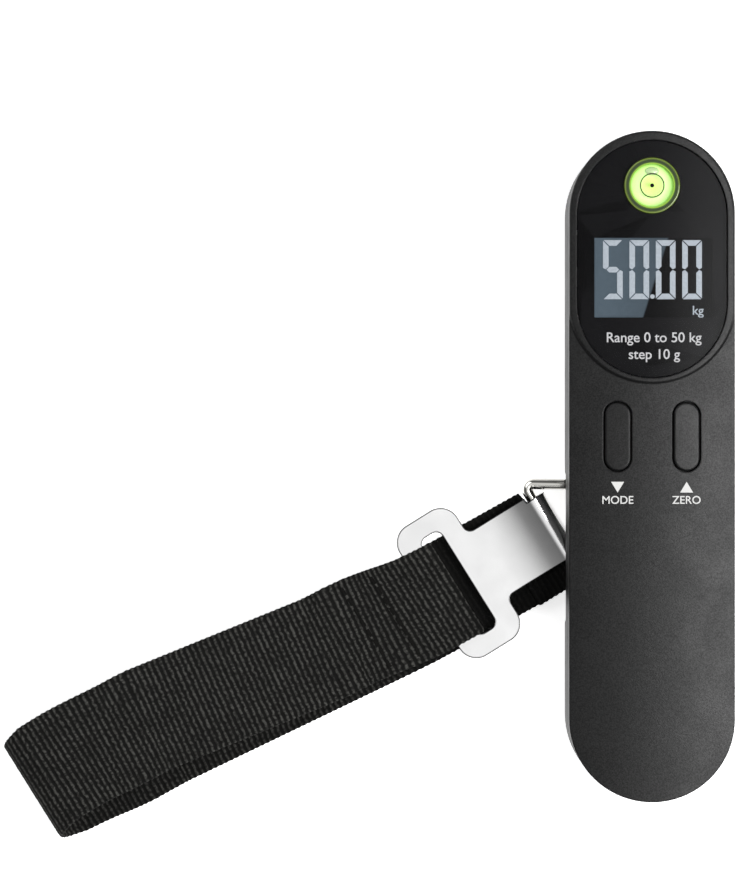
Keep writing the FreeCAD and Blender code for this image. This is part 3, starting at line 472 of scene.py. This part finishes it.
paint("level_bubble", bubble_material())


# ---------------------------------------------------------------- strap
# The route repeats the frame's: u runs out from the ring's pivot along the
# strap, v across it, both turned into place about the pivot.
STRAP_TURN = math.radians(212.0)
PIVOT = Vector((0, -6.0 * MM, 0))
WIRE_Z = 3.6
BAR_U = 22.8
WIRE_RADIUS = 1.25
RUNNING_GAP = 0.08
WEB = 1.1
PLATE_T = 0.7
ROLL_MID = WIRE_RADIUS + RUNNING_GAP + WEB + 0.02 + PLATE_T / 2
WRAP_RADIUS = WIRE_RADIUS + RUNNING_GAP + WEB / 2
LEAVE = math.radians(20.5)
PRONG_Z = 3.85
BETWEEN_Z = 1.75
LOWER_Z = 0.6
WRAP_CENTRE = -1.45
WRAP_HALF = 10.85
WEB_HALF = 12.5
BIGHT_U = 149.4
BIGHT_RADIUS = 5.0
LOOP_U = 49.4
LOOP_RADIUS = 1.1
SEWN_U = 72.0
SEWN_Z = PRONG_Z + 0.6


def ease(t):
    t = min(max(t, 0.0), 1.0)
    return t * t * (3 - 2 * t)


def centre_lower(u):
    if u < 60:
        return -2.8 - 1.8 * (u - BAR_U) / (60 - BAR_U)
    if u < 125:
        return -4.6 - 7.2 * (u - 60) / 65
    return -11.8 - 2.6 * ease((u - 127) / 26.0)


def centre_upper(u):
    if u < 80:
        return -4.6 - 4.0 * ease((u - LOOP_U) / (80 - LOOP_U))
    if u < 125:
        return -8.6 - 8.0 * (u - 80) / 45
    return -16.6 - 1.5 * ease((u - 125) / 20.0)


def route():
    """Middle line of the webbing: rows of (u, z, centre, half width)."""
    rows = []
    drop = WIRE_Z + ROLL_MID * math.cos(LEAVE) - PRONG_Z
    full = 2 * drop / math.tan(LEAVE)
    depth = ROLL_MID - WRAP_RADIUS + 0.02
    for step in range(12, -1, -1):
        u = 10.5 * step / 12
        t = u / full
        slope = math.atan(math.tan(LEAVE) * (1 - t))
        z = WIRE_Z + ROLL_MID * math.cos(LEAVE) - drop * (1 - (1 - t) ** 2)
        u += BAR_U + ROLL_MID * math.sin(LEAVE)
        rows.append((u - depth * math.sin(slope), z - depth * math.cos(slope), WRAP_CENTRE, WRAP_HALF))
    first = math.pi / 2 - LEAVE
    for step in range(1, 25):
        turn = first + (1.5 * math.pi - first) * step / 24
        rows.append((
            BAR_U + WRAP_RADIUS * math.cos(turn), WIRE_Z + WRAP_RADIUS * math.sin(turn),
            WRAP_CENTRE, WRAP_HALF,
        ))
    rows.append((BAR_U + 1.3, BETWEEN_Z, WRAP_CENTRE, WRAP_HALF))
    rows.append((BAR_U + 2.0, BETWEEN_Z, centre_lower(BAR_U + 2.0), WEB_HALF))
    rows.append((BAR_U + 12.0, BETWEEN_Z, centre_lower(BAR_U + 12.0), WEB_HALF))
    for step in range(1, 6):
        u = BAR_U + 12.0 + 8.0 * step / 5
        z = BETWEEN_Z + (LOWER_Z - BETWEEN_Z) * ease(step / 5)
        rows.append((u, z, centre_lower(u), WEB_HALF))
    start = BAR_U + 20.0
    for step in range(1, 25):
        u = start + (BIGHT_U - start) * step / 24
        rows.append((u, LOWER_Z, centre_lower(u), WEB_HALF))
    low = centre_lower(BIGHT_U)
    high = centre_upper(BIGHT_U)
    for step in range(1, 16):
        turn = math.pi * (step / 16 - 0.5)
        rows.append((
            BIGHT_U + BIGHT_RADIUS * math.cos(turn), LOWER_Z + BIGHT_RADIUS * (1 + math.sin(turn)),
            low + (high - low) * step / 16, WEB_HALF,
        ))
    top = LOWER_Z + 2 * BIGHT_RADIUS
    for step in range(0, 25):
        t = step / 24
        u = BIGHT_U + (SEWN_U - BIGHT_U) * t
        rows.append((u, top + (SEWN_Z - top) * ease(t), centre_upper(u), WEB_HALF))
    loop_top = PRONG_Z + LOOP_RADIUS
    for step in range(0, 5):
        t = step / 5
        u = 62.0 - 7.0 * t
        rows.append((u, SEWN_Z + (loop_top - SEWN_Z) * ease(t), centre_upper(u), WEB_HALF - 0.3 * t))
    for step in range(0, 11):
        turn = math.pi * (0.5 + step / 10)
        rows.append((
            LOOP_U + LOOP_RADIUS * math.cos(turn), PRONG_Z + LOOP_RADIUS * math.sin(turn),
            centre_upper(LOOP_U), WEB_HALF - 0.4,
        ))
    loop_bottom = PRONG_Z - LOOP_RADIUS
    under = SEWN_Z - 1.15
    for step in range(1, 6):
        t = step / 5
        u = 55.0 + 7.0 * t
        z = loop_bottom + (under - loop_bottom) * ease(t)
        rows.append((u, z, centre_upper(u), WEB_HALF - 0.3 + 0.3 * t))
    rows.append((SEWN_U - 1.0, under, centre_upper(SEWN_U - 1.0), WEB_HALF))
    return rows


def to_row(u, v, z):
    """From strap coordinates in millimetres to the row frame in metres."""
    c = math.cos(STRAP_TURN)
    s = math.sin(STRAP_TURN)
    return Vector((
        (u * c - v * s) * MM + PIVOT.x, (u * s + v * c) * MM + PIVOT.y, z * MM
    ))


def resample(rows, spacing):
    """Even steps along the route: rows of (u, z, centre, half, distance)."""
    totals = [0.0]
    for one, two in zip(rows, rows[1:]):
        totals.append(totals[-1] + math.dist(one[:3], two[:3]))
    count = int(totals[-1] / spacing)
    made = []
    place = 0
    for step in range(count + 1):
        want = totals[-1] * step / count
        while place < len(totals) - 2 and totals[place + 1] < want:
            place += 1
        gap = totals[place + 1] - totals[place]
        t = (want - totals[place]) / gap if gap else 0
        one, two = rows[place], rows[place + 1]
        made.append(tuple(a + (b - a) * t for a, b in zip(one, two)) + (want,))
    return made


RIB_PITCH = 1.32
RIB_STEPS = 6
ZIGZAG = 1.9
ACROSS = 64
FACE_LIFT = 0.20
TAIL_END = 12.0


def hash_wave(a, b):
    """Repeatable small irregularity, from -1 to 1."""
    value = math.sin(a * 12.9898 + b * 78.233) * 43758.5453
    return 2 * (value - math.floor(value)) - 1


def rib_profile(s, v):
    """Height of the weave, 0 to 1, at s along and v across, in millimetres."""
    column = math.floor(v / (ZIGZAG / 2))
    sway = math.sin(2 * math.pi * v / ZIGZAG) * 0.05
    rib = math.floor(s / RIB_PITCH + sway)
    drift = 0.05 * hash_wave(rib, column)
    phase = s / RIB_PITCH + sway + drift
    wave = 0.5 + 0.5 * math.cos(2 * math.pi * phase)
    strand = 0.5 + 0.5 * math.cos(2 * math.pi * (v / ZIGZAG + hash_wave(rib, 3)))
    crown = wave ** 1.25 * (0.75 + 0.25 * strand)
    return crown * (1 + 0.12 * hash_wave(column, rib))


FRAME_REACH = 4
YAW_FROM_U = 60.0
YAW_LIMIT = 0.13


def strap_frames(rows):
    """Middle point, direction across and direction up of each row."""
    frames = []
    last = len(rows) - 1
    for place, (u, z, centre, *_) in enumerate(rows):
        before = rows[max(place - FRAME_REACH, 0)]
        after = rows[min(place + FRAME_REACH, last)]
        along = Vector((after[0] - before[0], after[2] - before[2], after[1] - before[1]))
        flat = Vector((along.x, 0, along.z))
        if flat.length < 1e-6:
            flat = Vector((1, 0, 0))
        flat.normalize()
        up = Vector((-flat.z, 0, flat.x))
        yaw = 0.0
        if abs(along.x) > 1.0 and u > YAW_FROM_U:
            yaw = math.atan(along.y / along.x) * (1 - ease((u - BIGHT_U + 22.0) / 16.0))
            yaw = max(-YAW_LIMIT, min(YAW_LIMIT, yaw)) * ease((u - YAW_FROM_U) / 10.0)
        across = Vector((-math.sin(yaw), math.cos(yaw), 0))
        frames.append((Vector((u, centre, z)), across, up))
    return frames


def strap_surface(rows):
    """Vertices of both faces, with the map place, rib height and painted shade of each."""
    verts = []
    coords = []
    heights = []
    painted_shades = []
    half_core = WEB / 2 - FACE_LIFT
    frames = strap_frames(rows)
    for face in (1, -1):
        for (u, z, centre, half, s), (middle, across, up) in zip(rows, frames):
            # painted shade: the inner side is painted dimmer, and darker still close to the ring,
            # where it lies in the dark
            shade_paint = 0.10 + 0.65 * ease((u - 60.0) / 14.0)
            # the outer side is painted at full brightness, except near the start of the route, where
            # it too is painted in shade
            if face < 0:
                shade_paint += (1 - shade_paint) * ease((s - TAIL_END) / 4.0)
            for column in range(ACROSS + 1):
                t = 2 * column / ACROSS - 1
                rim = 1 - abs(t)
                scallop = 0.16 * (0.5 + 0.5 * math.cos(2 * math.pi * s / RIB_PITCH)) * (rim < 0.03)
                v = t * (half - 0.12 - scallop)
                lift = rib_profile(s + (0.5 * RIB_PITCH if face < 0 else 0), v)
                edge = min(rim / 0.05, 1.0)
                rise = half_core * (0.35 + 0.65 * math.sqrt(edge))
                rise += FACE_LIFT * lift * (0.3 + 0.7 * edge)
                point = middle + across * v + up * (face * rise)
                verts.append(tuple(to_row(point.x, point.y, point.z)))
                coords.append((s / RIB_PITCH, v))
                heights.append(lift)
                painted_shades.append(shade_paint)
    return verts, coords, heights, painted_shades


def strap_faces(count):
    """Quads of the two faces, the two edges and the two cut ends."""
    faces = []
    width = ACROSS + 1
    sheet = count * width
    for place in range(count - 1):
        for column in range(ACROSS):
            a = place * width + column
            b = a + width
            faces.append((a, b, b + 1, a + 1))
            c = a + sheet
            d = b + sheet
            faces.append((c, c + 1, d + 1, d))
    for place in range(count - 1):
        for column in (0, ACROSS):
            a = place * width + column
            b = a + width
            quad = (a, a + sheet, b + sheet, b)
            faces.append(quad if column == 0 else quad[::-1])
    for place, flip in ((0, False), (count - 1, True)):
        for column in range(ACROSS):
            a = place * width + column
            quad = (a, a + 1, a + 1 + sheet, a + sheet)
            faces.append(quad[::-1] if flip else quad)
    return faces


def strap_mesh():
    rows = resample(route(), RIB_PITCH / RIB_STEPS)
    verts, coords, heights, painted_shades = strap_surface(rows)
    mesh = bpy.data.meshes.new("strap_ribbed")
    mesh.from_pydata(verts, [], strap_faces(len(rows)))
    layer = mesh.uv_layers.new(name="rib_across")
    for loop in mesh.loops:
        layer.data[loop.index].uv = coords[loop.vertex_index]
    # rib height, and the painted shade that dims the webbing's colour
    for name, values in (("rib_height", heights), ("painted_shade", painted_shades)):
        attribute = mesh.attributes.new(name, "FLOAT", "POINT")
        attribute.data.foreach_set("value", values)
    mesh.polygons.foreach_set("use_smooth", [True] * len(mesh.polygons))
    mesh.update()
    return mesh


def add(name, mesh, material, body):
    obj = bpy.data.objects.new(name, mesh)
    SCENE.collection.objects.link(obj)
    obj.data.materials.append(material)
    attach(obj, body)
    return obj


strap = add("strap_ribbed", strap_mesh(), webbing_material("webbing_nylon"), "hand_strap")
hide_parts("strap_webbing")


POOL_SIDES = 96
POOL_GAP = 0.02 * MM


def level_pool():
    """Tinted liquid, filled up to the middle of the air bubble."""
    low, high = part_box("level_liquid")
    bubble_low, bubble_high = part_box("level_bubble")
    x, y = level_centre()
    radius = (high[0] - low[0]) / 2 - POOL_GAP
    top = (bubble_low[2] + bubble_high[2]) / 2
    turns = [2 * math.pi * step / POOL_SIDES for step in range(POOL_SIDES)]
    verts = [
        (x + radius * math.cos(turn), y + radius * math.sin(turn), z)
        for z in (low[2] + POOL_GAP, top) for turn in turns
    ]
    faces = []
    for side in range(POOL_SIDES):
        after = (side + 1) % POOL_SIDES
        faces.append((side, after, POOL_SIDES + after, POOL_SIDES + side))
    faces.append(tuple(range(POOL_SIDES - 1, -1, -1)))
    faces.append(tuple(range(POOL_SIDES, 2 * POOL_SIDES)))
    mesh = bpy.data.meshes.new("level_pool")
    mesh.from_pydata(verts, [], faces)
    return mesh


pool = add("level_pool", level_pool(), liquid_material(), "housing")
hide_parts("level_liquid")
paint("strap_stitching", moulded("thread_m", (0.006, 0.006, 0.0055), 0.9, grain=0.3, specular=0.05))


# ---------------------------------------------------------------- printed figures
def print_text(name, words, x, y, z, size, material, body, width=None):
    """A line of print centred on x, y; size is the capital height in metres."""
    curve = bpy.data.curves.new(name, "FONT")
    curve.body = words
    curve.align_x = "CENTER"
    curve.align_y = "CENTER"
    curve.size = size / 0.70
    curve.extrude = 0.00002
    curve.offset = size * 0.010
    curve.materials.append(material)
    obj = bpy.data.objects.new(name, curve)
    SCENE.collection.objects.link(obj)
    obj.location = (x, y, z)
    bpy.context.view_layer.update()
    if width:
        curve.space_character = 1 + (width / obj.dimensions.x - 1) * 1.15
        bpy.context.view_layer.update()
    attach(obj, body)
    return obj


mask_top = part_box("lens_mask")[1][2]
print_z = mask_top + 0.03 * MM
print_text(
    "print_range", "Range 0 to 50 kg", 0.4 * MM, 28.75 * MM, print_z, 2.2 * MM, PRINT, "housing",
    21.2 * MM,
)
print_text("print_step", "step 10 g", 0.5 * MM, 25.0 * MM, print_z, 2.2 * MM, PRINT, "housing")
segment_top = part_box("lcd_segments")[1][2]
print_text(
    "unit_readout", "kg", 10.3 * MM, 34.8 * MM, segment_top, 2.0 * MM,
    lit_segment(), "housing",
)
face_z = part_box("mark_up")[0][2]
for name, node, words in (("print_mode", "mark_down", "MODE"), ("print_zero", "mark_up", "ZERO")):
    low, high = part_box(node)
    print_text(
        name, words, (low[0] + high[0]) / 2, low[1] - 1.75 * MM, face_z + 0.00003, 1.75 * MM,
        PRINT, "housing",
    )


# ---------------------------------------------------------------- floor, light, camera
FLOOR_HALF = 3.0
FLOOR_DROP = 0.0002


def floor():
    half = FLOOR_HALF
    mesh = bpy.data.meshes.new("floor_sheet")
    mesh.from_pydata(
        [(-half, -half, 0), (half, -half, 0), (half, half, 0), (-half, half, 0)], [], [(0, 1, 2, 3)]
    )
    obj = bpy.data.objects.new("floor_sheet", mesh)
    SCENE.collection.objects.link(obj)
    obj.data.materials.append(floor_material())
    obj.location.z = -FLOOR_DROP


def studio_world():
    world = bpy.data.worlds.new("studio")
    world.use_nodes = True
    tree = world.node_tree
    tree.nodes.clear()
    out = tree.nodes.new("ShaderNodeOutputWorld")
    back = tree.nodes.new("ShaderNodeBackground")
    place = tree.nodes.new("ShaderNodeTexCoord")
    parts = tree.nodes.new("ShaderNodeSeparateXYZ")
    ramp = tree.nodes.new("ShaderNodeValToRGB")
    band = ramp.color_ramp
    band.elements[0].position = 0.0
    band.elements[0].color = (0.42, 0.42, 0.42, 1)
    band.elements[1].position = 1.0
    band.elements[1].color = (0.92, 0.92, 0.92, 1)
    for position, level in ((0.35, 0.22), (0.70, 0.09), (0.86, 0.22), (0.95, 0.66)):
        band.elements.new(position).color = (level, level, level, 1)
    tree.links.new(place.outputs["Generated"], parts.inputs[0])
    tree.links.new(parts.outputs["Z"], ramp.inputs["Fac"])
    tree.links.new(ramp.outputs["Color"], back.inputs["Color"])
    back.inputs["Strength"].default_value = 1.0
    tree.links.new(back.outputs[0], out.inputs["Surface"])
    SCENE.world = world


def area(name, place, target, width, height, power):
    lamp = bpy.data.lights.new(name, "AREA")
    lamp.shape = "RECTANGLE"
    lamp.size = width
    lamp.size_y = height
    lamp.energy = power
    obj = bpy.data.objects.new(name, lamp)
    SCENE.collection.objects.link(obj)
    aim = Vector(target) - Vector(place)
    obj.matrix_world = Matrix.Translation(place) @ aim.to_track_quat("-Z", "Y").to_matrix().to_4x4()
    obj.visible_camera = False
    return obj


CAMERA_PLACE = (-0.0631, 0.0047, 0.880)


def camera():
    data = bpy.data.cameras.new("camera")
    data.lens = 155.0
    data.sensor_width = 36.0
    data.clip_start = 0.05
    data.clip_end = 20.0
    obj = bpy.data.objects.new("camera", data)
    SCENE.collection.objects.link(obj)
    obj.location = CAMERA_PLACE
    SCENE.camera = obj


floor()
studio_world()
area("key", (-0.7, 0.7, 0.9), (-0.05, 0, 0), 0.9, 0.9, 6.0)
area("fill", (0.5, -0.9, 0.9), (-0.05, 0, 0), 0.9, 0.9, 4.0)
area("softbox", (0.42, -0.06, 0.70), (0.0, 0.0, 0.02), 0.32, 0.60, 8.0)
camera()
